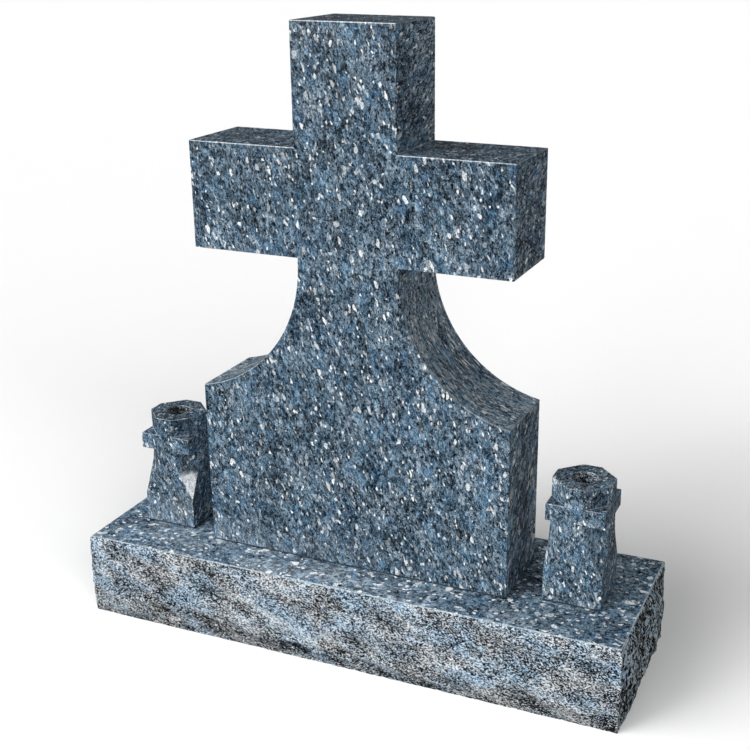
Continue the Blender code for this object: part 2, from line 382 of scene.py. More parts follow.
@dataclass(frozen=True)
class PitchedLarvikite:
    """Larvikite broken off with a pitching chisel.

    To the eye it is paler than the polished stone, because crushed crystals scatter light: a fine
    salt-and-pepper grain of black, grey-blue and white. Light and shade are painted on it too: ridges paler
    and bluer and hollows darker, a painted highlight along the upper edge of the ends, and painted shade,
    duller and less blue, on the foot where the wall is drawn in.
    """

    name: str
    lay: Lay = Lay(tilt_degrees=(0.0, -74.0, 0.0), stretch=(1.0, 1.2, 2.4))
    grain: float = 0.0012
    powder: float = 0.0009
    band: float = 0.025
    patch: float = 0.036
    wander_share: float = 0.4
    wander_grains: float = 1.5
    # Weight of the painted highlight along the walls' upper edge, where the rolled edge would catch the light
    top_edge_highlight: float = 0.0
    roughness: float = 0.85
    crumb_strength: float = 0.7
    crumb_depth: float = 0.0016
    specular: float = 0.25
    lift: float = 0.0
    tone_start: float = -1.94
    blue_start: float = -0.61
    tones: Stops = (
        (0.14, "#040608"), (0.27, "#181e23"), (0.40, "#434e57"), (0.52, "#707d88"),
        (0.64, "#98a6b3"), (0.76, "#bcc8d2"), (0.88, "#dae3ea"), (0.98, "#f6f9fb"),
    )
    tints: Stops = ((0.22, "#f1ede9"), (0.50, "#e6e8e9"), (0.80, "#c2dff5"))

    def build(self) -> bpy.types.Material:
        """Makes the material.

        Returns:
            The material.
        """
        material, shader = stone_material(self.name)
        tree = material.node_tree
        place = self.lay.coordinates(tree, self.wander_share * self.grain, self.wander_grains * self.grain)
        grain, powder = (grain_chances(tree, place, size) for size in (self.grain, self.powder))
        bands, patches = (
            add_node(tree, "TexNoise", {"Vector": place, "Scale": 1 / size, "Detail": detail}).outputs["Fac"]
            for size, detail in ((self.band, 3), (self.patch, 2))
        )
        relief, foot, edge = (
            add_node(tree, "Attribute", attribute_name=name, attribute_type="GEOMETRY").outputs["Fac"]
            for name in WALL_LAYERS
        )
        # Painted light and shade from the wall's own shape: ridges paler, hollows darker, the drawn-in foot
        # darker and the upper edge paler
        layers = (
            (grain[0], 1.65), (powder[0], 1.30), (bands, 1.75),
            (relief, 0.22), (foot, -0.20), (edge, self.top_edge_highlight),
        )
        tone = weighted_sum(tree, layers, self.lift + self.tone_start)
        hues = ((powder[1], 0.60), (patches, 1.6), (relief, 0.10), (foot, -0.15), (edge, self.top_edge_highlight))
        blueness = weighted_sum(tree, hues, self.blue_start)
        crumb = {"Strength": self.crumb_strength, "Distance": self.crumb_depth, "Height": tone}
        wire(
            shader,
            {
                "Base Color": stone_colour(tree, tone, self.tones, blueness, self.tints),
                "Normal": add_node(tree, "Bump", crumb).outputs[0],
                "Roughness": self.roughness,
                "Specular IOR Level": self.specular,
            },
        )
        return material


def add_box(name: str, low: Vector, high: Vector) -> Piece:
    """Adds a box between two corners, with its place in its mesh.

    Args:
        name: The object's name.
        low: Lowest corner.
        high: Highest corner.

    Returns:
        The box, selected and active.
    """
    bpy.ops.object.select_all(action="DESELECT")
    bpy.ops.mesh.primitive_cube_add(size=1.0, location=(low + high) / 2, scale=high - low)
    return settle(bpy.context.active_object, name)


def settle(piece: Piece, name: str) -> Piece:
    """Names a piece and puts its place, turn and scale into its mesh.

    Args:
        piece: The object, selected and active.
        name: Its new name.

    Returns:
        The same object.
    """
    piece.name = name
    piece.data.name = name
    bpy.ops.object.transform_apply(location=True, rotation=True, scale=True)
    return piece


def take_up(piece: Piece) -> None:
    """Makes a piece the only selected object and the active one.

    Args:
        piece: The object.
    """
    bpy.ops.object.select_all(action="DESELECT")
    piece.select_set(True)
    bpy.context.view_layer.objects.active = piece


@contextmanager
def editing(piece: Piece) -> Iterator[None]:
    """Holds a piece open in edit mode, with all of it selected at first.

    Args:
        piece: The object.

    Yields:
        Nothing.
    """
    take_up(piece)
    bpy.ops.object.mode_set(mode="EDIT")
    bpy.ops.mesh.select_all(action="SELECT")
    yield
    bpy.ops.object.mode_set(mode="OBJECT")


def select(piece: Piece, kind: Element, rule: Callable[..., bool]) -> None:
    """Selects, in edit mode, the elements that a rule picks, and nothing else.

    Args:
        piece: The object in edit mode.
        kind: The kind of element.
        rule: Says of a bmesh element whether it is selected.
    """
    bpy.ops.mesh.select_mode(type=kind.value)
    bpy.ops.mesh.select_all(action="DESELECT")
    mesh = bmesh.from_edit_mesh(piece.data)
    for element in mesh.edges if kind is Element.EDGE else mesh.faces:
        if rule(element):
            element.select_set(True)
    mesh.select_flush_mode()
    bmesh.update_edit_mesh(piece.data)


def slice_off(piece: Piece, point: Vector, normal: Vector) -> None:
    """Cuts a closed piece with a plane, drops what lies on the normal's side and closes the cut.

    Args:
        piece: The object to cut.
        point: A point on the plane.
        normal: The plane's normal.
    """
    with editing(piece):
        bpy.ops.mesh.bisect(plane_co=point, plane_no=normal, use_fill=True, clear_outer=True)


def apply_modifier(piece: Piece, modifier: bpy.types.Modifier) -> None:
    """Applies a modifier to a piece's mesh."""
    take_up(piece)
    bpy.ops.object.modifier_apply(modifier=modifier.name)


def cut_away(piece: Piece, cutters: Iterable[Piece]) -> None:
    """Subtracts each cutter from a piece and removes the cutters.

    Args:
        piece: The object that is cut.
        cutters: Closed objects that overlap it.
    """
    for cutter in cutters:
        boolean = piece.modifiers.new("cut", "BOOLEAN")
        boolean.operation = "DIFFERENCE"
        boolean.solver = "EXACT"
        boolean.object = cutter
        apply_modifier(piece, boolean)
        bpy.data.objects.remove(cutter)


def ease_edges(piece: Piece, width: float, finish: int) -> None:
    """Rounds every sharp edge by a narrow arris, as a mason does with a fine stone.

    Only the arrises that face up take the paler finish, a painted highlight where they face the light from
    above. The others keep the polish.

    Args:
        piece: The object.
        width: The arris's width in metres.
        finish: Number of the material slot that the upper arrises take.
    """
    bevel = piece.modifiers.new("arris", "BEVEL")
    bevel.width = width
    bevel.segments = ARRIS_STEPS
    bevel.limit_method = "ANGLE"
    bevel.angle_limit = SHARP
    bevel.material = finish
    apply_modifier(piece, bevel)
    # Painted highlight: only the arrises that face up, towards the light, keep the paler finish
    for face in piece.data.polygons:
        if face.material_index == finish and face.normal.z < POINTING:
            face.material_index = 0
    bpy.ops.object.shade_smooth_by_angle(angle=CURVED)


def mark_joint_and_contact_shade(piece: Piece, height: float, joint: int) -> None:
    """Marks off the strip at a stone's foot that is darkened for its setting compound and as painted shade
    where it meets the stone below.

    Args:
        piece: The object.
        height: The strip's height in metres.
        joint: Number of the material slot that the strip takes.
    """
    top = min(vert.co.z for vert in piece.data.vertices) + height
    with editing(piece):
        bpy.ops.mesh.bisect(plane_co=top * UP, plane_no=UP, use_fill=False)
    for face in piece.data.polygons:
        if face.center.z < top:
            face.material_index = joint


def copy_to(piece: Piece, name: str, move: Matrix) -> Piece:
    """Copies a piece, with a mesh of its own.

    Args:
        piece: The piece to copy.
        name: The copy's name.
        move: Takes the copy from the piece's place to its own.

    Returns:
        The copy.
    """
    twin = piece.copy()
    twin.data = piece.data.copy()
    twin.name = name
    twin.data.name = name
    twin.data.transform(move)
    bpy.context.scene.collection.objects.link(twin)
    return twin


def put_on(piece: Piece, finishes: Iterable[Finish]) -> None:
    """Gives a piece its material slots, one for each finish."""
    for finish in finishes:
        piece.data.materials.append(finish.build())


def hand_over(piece: Piece, node: str) -> None:
    """Lets a finished piece ride on the part's body and stand for its node.

    Args:
        piece: The finished piece.
        node: The node that it replaces.
    """
    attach(piece, BODY)
    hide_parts(node)
    mesh = piece.data
    mesh.calc_loop_triangles()
    LOG.info("%s: %d triangles, stands for %s", piece.name, len(mesh.loop_triangles), node)


@dataclass
class CrossTablet:
    """Cross cut from one slab, with square arms and a quarter-round sweep under each."""

    node: str = "cross_tablet"
    stem_width: float = 0.1775
    arm_underside: float = 0.5435
    arm_height: float = 0.178
    sweep_radius: float = 0.2355
    sweep_below_arm: float = 0.0125
    sweep_sides: int = 320
    arris: float = 0.0016
    joint: float = 0.0026
    low: Vector = field(init=False)
    high: Vector = field(init=False)

    def __post_init__(self) -> None:
        """Takes the slab's corners from its node."""
        self.low, self.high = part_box(self.node)

    def build(self) -> Piece:
        """Models the tablet from its slab and dresses it.

        Returns:
            The finished tablet.
        """
        tablet = add_box("tablet", self.low, self.high)
        for side in (-1.0, 1.0):
            cut_away(tablet, (self.head_cutter(side), self.sweep_cutter(side)))
        self.dress(tablet)
        ease_edges(tablet, self.arris, TabletSlot.ARRISES)
        mark_joint_and_contact_shade(tablet, self.joint, TabletSlot.JOINT)
        hand_over(tablet, self.node)
        return tablet

    def head_cutter(self, side: float) -> Piece:
        """What is sawn off above an arm, from the head's side to beyond the arm's end.

        Args:
            side: -1 on the left, 1 on the right.

        Returns:
            The cutter.
        """
        near, far = sorted((side * self.stem_width / 2, side * (self.high.x + OVERRUN)))
        arm_top = self.low.z + self.arm_underside + self.arm_height
        low = Vector((near, self.low.y - OVERRUN, arm_top))
        high = Vector((far, self.high.y + OVERRUN, self.high.z + OVERRUN))
        return add_box("head_cutter", low, high)

    def sweep_cutter(self, side: float) -> Piece:
        """What is cut out under an arm: half a cylinder, drawn straight up to the arm's underside.

        Args:
            side: -1 on the left, 1 on the right.

        Returns:
            The cutter.
        """
        arm_underside = self.low.z + self.arm_underside
        middle = side * (self.stem_width / 2 + self.sweep_radius)
        centre = Vector((middle, 0.0, arm_underside - self.sweep_below_arm))
        bpy.ops.object.select_all(action="DESELECT")
        bpy.ops.mesh.primitive_cylinder_add(
            vertices=self.sweep_sides,
            radius=self.sweep_radius,
            depth=self.high.y - self.low.y + 2 * OVERRUN,
            location=centre,
            rotation=(math.pi / 2, 0.0, 0.0),
        )
        cutter = settle(bpy.context.active_object, "sweep_cutter")
        slice_off(cutter, centre, UP)
        with editing(cutter):
            select(cutter, Element.FACE, lambda face: face.normal.z > ALONG)
            bpy.ops.mesh.extrude_region_move(TRANSFORM_OT_translate={"value": self.sweep_below_arm * UP})
        return cutter

    def dress(self, tablet: Piece) -> None:
        """Gives the tablet its polish, its arrises and its joint.

        Its crystals lie along the faces, so the sides and sweeps, sawn across them, show a finer grain.

        Args:
            tablet: The tablet, before its edges are eased.
        """
        start = (0.3, 0.2, 0.5)
        across = Lay(start, tilt_degrees=(12.0, 0.0, 0.0), stretch=(1.0, 2.2, 1.1))
        right_sweep = Lay(start, tilt_degrees=(0.0, -48.0, 0.0), stretch=(1.0, 1.0, 2.6))
        left_sweep = Lay(start, tilt_degrees=(0.0, 48.0, 0.0), stretch=(1.0, 1.0, 2.6))
        upright = Lay(start, stretch=(1.0, 1.7, 3.2))
        # Painted light and shade: the lifts differ from face to face to match how brightly each face is lit,
        # the sweeps, tilted up to the light, palest
        finishes = (
            PolishedLarvikite("polished larvikite, tablet faces"),
            rubbed_arris_with_painted_highlight("rubbed, highlight-painted larvikite, tablet arrises"),
            CompoundAndContactShade("setting compound and painted contact shade under the tablet"),
            sawn_across("polished larvikite, head and arm ends", across, 0.062, 0.012),
            sawn_across("polished larvikite, tablet tops", across, 0.045, 0.006),
            sawn_across("polished larvikite, right sweep", right_sweep, 0.16, 0.032),
            sawn_across("polished larvikite, left sweep", left_sweep, 0.16, 0.032),
            sawn_across("polished larvikite, die sides", upright, 0.09, 0.020),
        )
        put_on(tablet, finishes)
        die_top = self.low.z + self.arm_underside - self.sweep_below_arm - self.sweep_radius
        for face in tablet.data.polygons:
            if face.normal.z > ALONG:
                face.material_index = TabletSlot.TOPS
            elif face.normal.z > LEANING:
                face.material_index = TabletSlot.RIGHT_SWEEP if face.normal.x > 0 else TabletSlot.LEFT_SWEEP
            elif abs(face.normal.y) < ALONG:
                face.material_index = TabletSlot.DIE_SIDES if face.center.z < die_top else TabletSlot.ENDS


@dataclass(frozen=True)
class CompoundAndContactShade:
    """Dark grey compound that beds one stone on another, laid as a strip on the upper stone's foot that is
    also painted shade where the stones meet.

    To the eye it is a thin matt line, nearly black as the shade under the stone above, with a little grit in
    it.
    """

    name: str
    grit: float = 0.0009
    roughness: float = 0.9
    specular: float = 0.2
    tones: Stops = ((0.30, "#161c22"), (0.70, "#323b43"))

    def build(self) -> bpy.types.Material:
        """Makes the material.

        Returns:
            The material.
        """
        material, shader = stone_material(self.name)
        tree = material.node_tree
        place = add_node(tree, "TexCoord").outputs["Object"]
        grit = add_node(tree, "TexNoise", {"Vector": place, "Scale": 1 / self.grit})
        ramp = add_node(tree, "ValToRGB", {"Fac": grit.outputs["Fac"]}, stops=self.tones)
        matt = {"Roughness": self.roughness, "Specular IOR Level": self.specular}
        wire(shader, {"Base Color": ramp.outputs[0], **matt})
        return material


def sawn_across(name: str, lay: Lay, lift: float, flash_share: float) -> PolishedLarvikite:
    """Finish of the faces sawn across the crystals: polished like the others, but finer and less blue; its
    lift is painted light and shade for the face.
    """
    tones = tuple(zip((0.26, 0.34, 0.42, 0.50, 0.58, 0.66, 0.74, 0.85), POLISHED))
    return PolishedLarvikite(name, lay, lift=lift, flash_share=flash_share, tones=tones, tints=DULL_TINTS)


def rubbed_arris_with_painted_highlight(name: str, lift: float = 0.0) -> PolishedLarvikite:
    """Finish of the narrow arrises: rubbed by hand and not buffed, so duller than the faces, and paler as a
    painted highlight along the edge.
    """
    tones = ((0.20, "#52606b"), (0.40, "#778691"), (0.60, "#98a5af"), (0.80, "#bac4cb"), (0.95, "#dce2e5"))
    return PolishedLarvikite(name, lift=lift, roughness=0.30, tones=tones)


def smooth_step(value: float, least: float = 0.0) -> float:
    """Least below 0, 1 above 1, and a soft rise between."""
    value = min(max(value, 0.0), 1.0)
    return least + (1.0 - least) * (value * value * (3 - 2 * value))


class Wall(Enum):
    """The two pairs of broken walls."""

    LONG = (0.0115, 1.7, 0.0, 2.0)
    END = (0.0065, 4.5, 0.3, 5.0)

    def __init__(self, swell: float, fullness: float, foot_share: float, seed: float) -> None:
        """Names a pair's numbers.

        Args:
            swell: How far the walls swell out, in metres.
            fullness: How full the swell stays above the walls' fullest line.
            foot_share: Share of the swell that is left at the foot.
            seed: Start of the walls' own chance pattern.
        """
        self.swell = swell
        self.fullness = fullness
        self.foot_share = foot_share
        self.seed = seed


@dataclass(frozen=True)
class Spot:
    """Place on a broken wall: the pair of walls, the axis it faces along and which way, and where on it."""

    wall: Wall
    axis: int
    out: float
    along: float
    height: float
    half_length: float

    @property
    def side(self) -> float:
        """Number that only this one of the four walls has."""
        return self.wall.seed * self.out


@dataclass
class RockFacedBase:
    """Base block with a polished top, a sawn underside and four walls broken off with a chisel.

    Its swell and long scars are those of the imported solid. A finer crumb is laid over them, each size with
    its depth, from about a fingertip down to a grain. The arris's chips have a length, a weight and a seed.
    """

    node: str = "rock_faced_base"
    width: float = 0.988
    depth: float = 0.304
    height: float = 0.1525
    cell: float = 0.0025
    arris: float = 0.0013
    chips: tuple[tuple[float, float, float], ...] = ((0.011, 1.0, 7.0), (0.004, 0.6, 3.0))
    chip_depth: float = 0.0006
    crest_height: float = 0.047
    crest_fall: float = 0.014
    crest_wander: float = 0.018
    wander_length: float = 0.17
    scar_depth: float = 0.0055
    scar_length: float = 0.110
    scar_height: float = 0.036
    scar_slope: float = 0.36
    scar_warp: float = 0.7
    warp_pace: float = 0.6
    scar_fall: float = 2.6
    ripple: float = 0.5
    ripple_pace: float = 2.1
    edge_run: float = 0.022
    corner_run: float = 0.045
    corner_share: float = 0.15
    crumb_run: float = 0.004
    crumb_stretch: float = 1.5
    crumb_fall: float = 2.2
    crumb_seed: float = 100.0
    crumbs: tuple[tuple[float, float], ...] = ((0.016, 0.0011), (0.0075, 0.0007), (0.0042, 0.0004))
    foot_shade_blend: float = 0.012
    top_edge_highlight_run: float = 0.016
    end_slack: float = 1e-4
    seed: Vector = field(default_factory=lambda: Vector((3.7, 11.2, 5.1)))

    def build(self) -> Piece:
        """Models the base from its sawn block and dresses it.

        Returns:
            The finished base.
        """
        half = Vector((self.width / 2, self.depth / 2, 0.0))
        base = add_box("base", -half, half + self.height * UP)
        self.divide_walls(base)
        self.break_walls(base)
        self.close_faces(base)
        self.dress(base)
        hand_over(base, self.node)
        return base

    def divide_walls(self, base: Piece) -> None:
        """Takes off the top and underside and divides the walls into small cells.

        Args:
            base: The sawn block.
        """
        with editing(base):
            select(base, Element.FACE, lambda face: abs(face.normal.z) > ALONG)
            bpy.ops.mesh.delete(type="ONLY_FACE")
            for axis, length in ((2, self.height), (0, self.width), (1, self.depth)):
                select(base, Element.EDGE, lambda edge: runs_along(edge, axis))
                bpy.ops.mesh.subdivide(number_cuts=round(length / self.cell) - 1)
            bpy.ops.mesh.select_all(action="SELECT")
            bpy.ops.mesh.bisect(plane_co=(self.height - self.arris) * UP, plane_no=UP, use_fill=False)

    def break_walls(self, base: Piece) -> None:
        """Moves the walls' points out to the broken surface, and keeps what each point lies on.

        Args:
            base: The open block with its walls in cells.
        """
        relief, foot, edge = (base.data.attributes.new(name, "FLOAT", "POINT").data for name in WALL_LAYERS)
        for vert in base.data.vertices:
            place = vert.co.copy()
            spots = self.spots(place)
            offset = Vector((0.0, 0.0, 0.0))
            for spot in spots:
                move, height = self.face(spot)
                offset[spot.axis] = spot.out * move
            vert.co = place + offset
            relief[vert.index].value = height
            # Painted shade: how far the point lies in the drawn-in foot, which the finish darkens
            foot[vert.index].value = self.foot(spots[0])
            # Painted highlight: nearness to the top edge, which the ends' finish paints paler and bluer
            edge[vert.index].value = smooth_step(1.0 - (self.height - place.z) / self.top_edge_highlight_run)
            if place.z >= self.height - TOUCH:
                self.rub_arris(vert, spots)

    def spots(self, place: Vector) -> list[Spot]:
        """Finds a point of the sawn block on its walls.

        Args:
            place: The point.

        Returns:
            Its spot on a long wall, on an end, or on both of them at an upright edge.
        """
        half = (self.width / 2, self.depth / 2)
        return [
            Spot(wall, axis, math.copysign(1.0, place[axis]), place[1 - axis], place.z, half[1 - axis])
            for axis, wall in ((1, Wall.LONG), (0, Wall.END))
            if abs(abs(place[axis]) - half[axis]) < TOUCH
        ]

    def foot(self, spot: Spot) -> float:
        """How far a spot lies in the drawn-in foot below the wall's fullest line, from 0 to 1, where the
        finish paints shade.
        """
        return smooth_step(0.5 + (self.crest(spot) - spot.height) / (2 * self.foot_shade_blend))

    def rub_arris(self, vert: bpy.types.MeshVertex, spots: Sequence[Spot]) -> None:
        """Draws a point of the top row in to a narrow chipped arris.

        Args:
            vert: The point.
            spots: Where on the walls it lies.
        """
        along = spots[0].along
        chips = 0.0
        for length, weight, seed in self.chips:
            chips += weight * noise.noise(Vector((along / length, seed, 0.0)))
        inward = self.arris + self.chip_depth * max(0.0, chips)
        for spot in spots:
            vert.co[spot.axis] -= spot.out * inward

    def face(self, spot: Spot) -> tuple[float, float]:
        """How far a broken wall stands out at a spot.

        Args:
            spot: The spot.

        Returns:
            The distance in metres, and the relief, from about -1 in hollows to 1 on ridges.
        """
        below_top = self.height - spot.height
        scars = self.scars(spot)
        edge = smooth_step(below_top / self.edge_run)
        foot = smooth_step(spot.height / self.edge_run, spot.wall.foot_share)
        corner = smooth_step((spot.half_length - abs(spot.along)) / self.corner_run, self.corner_share)
        body = spot.wall.swell * self.profile(spot)
        crumb = self.crumb(spot) * smooth_step(below_top / self.crumb_run)
        return corner * (body + edge * foot * self.scar_depth * scars) + crumb, scars

    def crest(self, spot: Spot) -> float:
        """Finds the wall's fullest line, which falls slowly along it and wanders.

        Args:
            spot: A place on the wall.

        Returns:
            The line's height there, in metres.
        """
        wander = noise.noise(Vector((spot.along / self.wander_length, spot.side, 0.0)) + self.seed)
        fall = self.crest_fall * spot.along / spot.half_length
        return self.crest_height - fall + self.crest_wander * wander

    def profile(self, spot: Spot) -> float:
        """Shapes the swell: none at the top edge, all at the crest, drawn in at the foot.

        Args:
            spot: A place on the wall.

        Returns:
            The share of the swell there.
        """
        crest = self.crest(spot)
        if spot.height >= crest:
            return 1.0 - ((spot.height - crest) / (self.height - crest)) ** spot.wall.fullness
        return smooth_step(spot.height / crest, spot.wall.foot_share)

    def sheared(self, spot: Spot) -> float:
        """Height of a spot across the chisel's slant."""
        return spot.height + self.scar_slope * spot.along

    def scars(self, spot: Spot) -> float:
        """Lays out the long slanting scars that the chisel left.

        Args:
            spot: A place on the wall.

        Returns:
            The relief there, from about -1 in the hollows to 1 on the ridges.
        """
        across = self.sheared(spot) / self.scar_height
        at = Vector((spot.along / self.scar_length, across, spot.side)) + self.seed
        warp = self.scar_warp * noise.noise(at * self.warp_pace)
        ridge = 1.0 - self.scar_fall * abs(noise.noise(at + Vector((warp, -warp, 0.0))))
        return ridge + self.ripple * noise.noise(at * self.ripple_pace)

    def crumb(self, spot: Spot) -> float:
        """Roughens the wall with broken crystals.

        Args:
            spot: A place on the wall.

        Returns:
            How far they stand out there, in metres.
        """
        total = 0.0
        for size, depth in self.crumbs:
            across = spot.along / (self.crumb_stretch * size)
            at = Vector((across, self.sheared(spot) / size, spot.side + self.crumb_seed * size))
            total += depth * (1.0 - self.crumb_fall * abs(noise.noise(at)))
        return total

    def close_faces(self, base: Piece) -> None:
        """Closes the top and the underside, and turns all faces out.

        Args:
            base: The block with its walls broken.
        """
        with editing(base):
            for level in (0.0, self.height):
                select(base, Element.EDGE, lambda edge: edge.is_boundary and lies_at(edge, level))
                bpy.ops.mesh.edge_face_add()
            bpy.ops.mesh.select_all(action="SELECT")
            bpy.ops.mesh.normals_make_consistent(inside=False)

    def dress(self, base: Piece) -> None:
        """Gives the top its polish, the walls their broken grain with painted light and shade, and the arris
        its rub and painted highlight.

        Args:
            base: The closed base.
        """
        finishes = (
            # Painted light: the top's higher lift and larger share of flashing crystals make the ledge paler
            # than the tablet's tops
            PolishedLarvikite(
                "polished larvikite, base top",
                lay=Lay(start=(0.12, 0.05, 0.21), tilt_degrees=(0.0, 90.0, 0.0), stretch=(1.0, 1.7, 2.0)),
                crystal=0.0045,
                chip=0.0026,
                lamella=0.0012,
                flash_share=0.026,
                lift=0.10,
                tints=((0.22, "#e9e8e7"), (0.50, "#e0e4e6"), (0.80, "#bfdcf0")),
                flash="#f6fbff",
            ),
            PitchedLarvikite("pitched larvikite, long walls"),
            # The ends' coarser grain and browner darks are the stone's own; their darker tones also paint the
            # ends' shade
            PitchedLarvikite(
                "pitched larvikite, ends",
                lay=Lay(tilt_degrees=(10.0, 0.0, 0.0), stretch=(1.0, 1.0, 1.35)),
                grain=0.0046,
                powder=0.0022,
                top_edge_highlight=0.20,
                lift=-0.02,
                tones=(
                    (0.16, "#0b0b0c"), (0.32, "#2c2a29"), (0.48, "#504c49"), (0.62, "#706c68"),
                    (0.74, "#868e96"), (0.86, "#9db5ca"), (0.97, "#c6dced"),
                ),
                tints=((0.30, "#f5efe8"), (0.70, "#ebe9e7"), (1.00, "#d0e4f2")),
            ),
            # The base's arris is painted paler still, as a highlight along its top edge
            rubbed_arris_with_painted_highlight("rubbed, highlight-painted larvikite, base arris", lift=0.30),
        )
        put_on(base, finishes)
        end = self.width / 2 - self.end_slack
        for face in base.data.polygons:
            if face.normal.z > ALONG:
                face.material_index = BaseSlot.TOP
            elif face.center.z > self.height - self.arris:
                face.material_index = BaseSlot.ARRIS
            elif abs(face.center.x) > end and abs(face.normal.x) > abs(face.normal.y):
                face.material_index = BaseSlot.ENDS
            else:
                face.material_index = BaseSlot.LONG_WALLS
        take_up(base)
        bpy.ops.object.shade_smooth_by_angle(angle=CRUMBLED)


def runs_along(edge: bmesh.types.BMEdge, axis: int) -> bool:
    """Says whether an edge runs along an axis, given by number."""
    step = edge.verts[1].co - edge.verts[0].co
    return abs(step[axis]) > ALONG * step.length


def lies_at(edge: bmesh.types.BMEdge, level: float) -> bool:
    """Says whether both ends of an edge are at one height."""
    return all(abs(vert.co.z - level) < TOUCH for vert in edge.verts)


@dataclass
class FlowerVase:
    """Square vase whose corners are cut away above and below a band of square lugs, with a drilled well."""

    width: float = 0.100
    foot_height: float = 0.054
    stop_height: float = 0.046
    flare_height: float = 0.047
    lug_height: float = 0.029
    stop_depth: float = 0.0165
    flare_depth: float = 0.0077
    flare_steps: int = 14
    well_diameter: float = 0.044
    well_floor: float = 0.070
    well_sides: int = 96
    arris: float = 0.0009
    joint: float = 0.0022
    rim_width: float = 0.001
    drilled_above_lugs: float = 0.03

    def build(self) -> list[Piece]:
        """Models the left vase, copies it for the right, and dresses both.

        Returns:
            Both vases.
        """
        low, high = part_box("vase_left")
        foot = Vector(((low.x + high.x) / 2, (low.y + high.y) / 2, low.z))
        left = add_box("left vase", low, high)
        top = high.z - low.z
        cut_away(left, [*self.corner_cutters(foot, top), self.well_cutter(foot, top)])
        self.dress(left, foot)
        ease_edges(left, self.arris, VaseSlot.ARRISES)
        mark_joint_and_contact_shade(left, self.joint, VaseSlot.JOINT)
        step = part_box("vase_right")[0] - low
        right = copy_to(left, "right_vase", Matrix.Translation(step))
        left.name = "left_vase"
        hand_over(left, "vase_left")
        hand_over(right, "vase_right")
        return [left, right]

    @property
    def lug_bottom(self) -> float:
        """Height of the lugs' underside."""
        return self.foot_height + self.stop_height + self.flare_height

    @property
    def lug_top(self) -> float:
        """Height of the lugs' top."""
        return self.lug_bottom + self.lug_height

    @property
    def corner(self) -> float:
        """Distance of a corner from the vase's middle."""
        return self.width / 2 * math.sqrt(2)

    @property
    def corner_cut(self) -> float:
        """Depth of the corners' cut, along the diagonal."""
        return self.stop_depth + self.flare_depth

    def cut_planes(self) -> list[tuple[float, float, Vector]]:
        """Planes that shape a corner's cut below the lug, along the flare's arc and then along the flat stop.

        Returns:
            For each plane, a point's depth in from the corner, its height, and the normal into the vase.
        """
        radius = (self.flare_height**2 + self.flare_depth**2) / (2 * self.flare_depth)
        sweep = math.asin(self.flare_height / radius)
        planes = []
        for step in range(1, self.flare_steps + 1):
            turn = sweep * step / self.flare_steps
            depth = self.corner_cut - radius * (1 - math.cos(turn))
            height = self.lug_bottom - radius * math.sin(turn)
            planes.append((depth, height, Vector((-math.cos(turn), 0.0, -math.sin(turn)))))
        planes.append((self.stop_depth / 2, self.foot_height + self.stop_height / 2, self.stop_normal()))
        return planes

    def stop_normal(self) -> Vector:
        """Normal of the flat stop, into the vase, for a corner that points along +X."""
        return Vector((-self.stop_height, 0.0, -self.stop_depth)).normalized()

    def corner_box(self, name: str, bottom: float, top: float) -> Piece:
        """Adds a block across a corner that points along +X, for a vase that stands at the origin.

        Args:
            name: The block's name.
            bottom: Its lowest height.
            top: Its highest height.

        Returns:
            The block.
        """
        low = Vector((self.corner - self.corner_cut, -self.width / 2, bottom))
        high = Vector((self.corner + OVERRUN, self.width / 2, top))
        return add_box(name, low, high)

    def corner_cutters(self, foot: Vector, top: float) -> list[Piece]:
        """Cutters above and below the lug of each corner.

        Args:
            foot: Middle of the vase's underside.
            top: The vase's height.

        Returns:
            Eight cutters.
        """
        upper = self.corner_box("upper_cutter", self.lug_top, top + OVERRUN)
        lower = self.corner_box("lower_cutter", self.foot_height - OVERRUN, self.lug_bottom)
        for depth, height, inward in self.cut_planes():
            slice_off(lower, Vector((self.corner - depth, 0.0, height)), inward)
        made = []
        for quarter in range(4):
            turn = Matrix.Rotation(math.pi / 4 + quarter * math.pi / 2, 4, "Z")
            for cutter in (upper, lower):
                made.append(copy_to(cutter, "corner_cutter", Matrix.Translation(foot) @ turn))
        for cutter in (upper, lower):
            bpy.data.objects.remove(cutter)
        return made

    def well_cutter(self, foot: Vector, top: float) -> Piece:
        """Adds the drill for the flower well, run out past the rim.

        Args:
            foot: Middle of the vase's underside.
            top: The vase's height.

        Returns:
            The cutter.
        """
        depth = top - self.well_floor + OVERRUN
        bpy.ops.object.select_all(action="DESELECT")
        bpy.ops.mesh.primitive_cylinder_add(
            vertices=self.well_sides,
            radius=self.well_diameter / 2,
            depth=depth,
            location=foot + (self.well_floor + depth / 2) * UP,
        )
        return settle(bpy.context.active_object, "well_cutter")

    def dress(self, vase: Piece, foot: Vector) -> None:
        """Gives a vase its polish outside, and the drill's plain grey inside the well.

        Args:
            vase: The vase, before its edges are eased.
            foot: Middle of the vase's underside.
        """
        lay = Lay(start=(0.1, 0.4, 0.7))
        finishes = (
            PolishedLarvikite("polished larvikite, vases", lay=lay, crystal=0.0042, chip=0.0024, lift=0.045),
            rubbed_arris_with_painted_highlight("rubbed, highlight-painted larvikite, vase arrises"),
            PitchedLarvikite("drilled larvikite, well", roughness=0.7, lift=-0.12),
            CompoundAndContactShade("setting compound and painted contact shade under the vases"),
        )
        put_on(vase, finishes)
        reach = self.well_diameter / 2 + self.rim_width
        drilled_top = foot.z + self.lug_top + self.drilled_above_lugs
        for face in vase.data.polygons:
            if (face.center - foot).to_2d().length < reach and face.center.z < drilled_top:
                face.material_index = VaseSlot.WELL


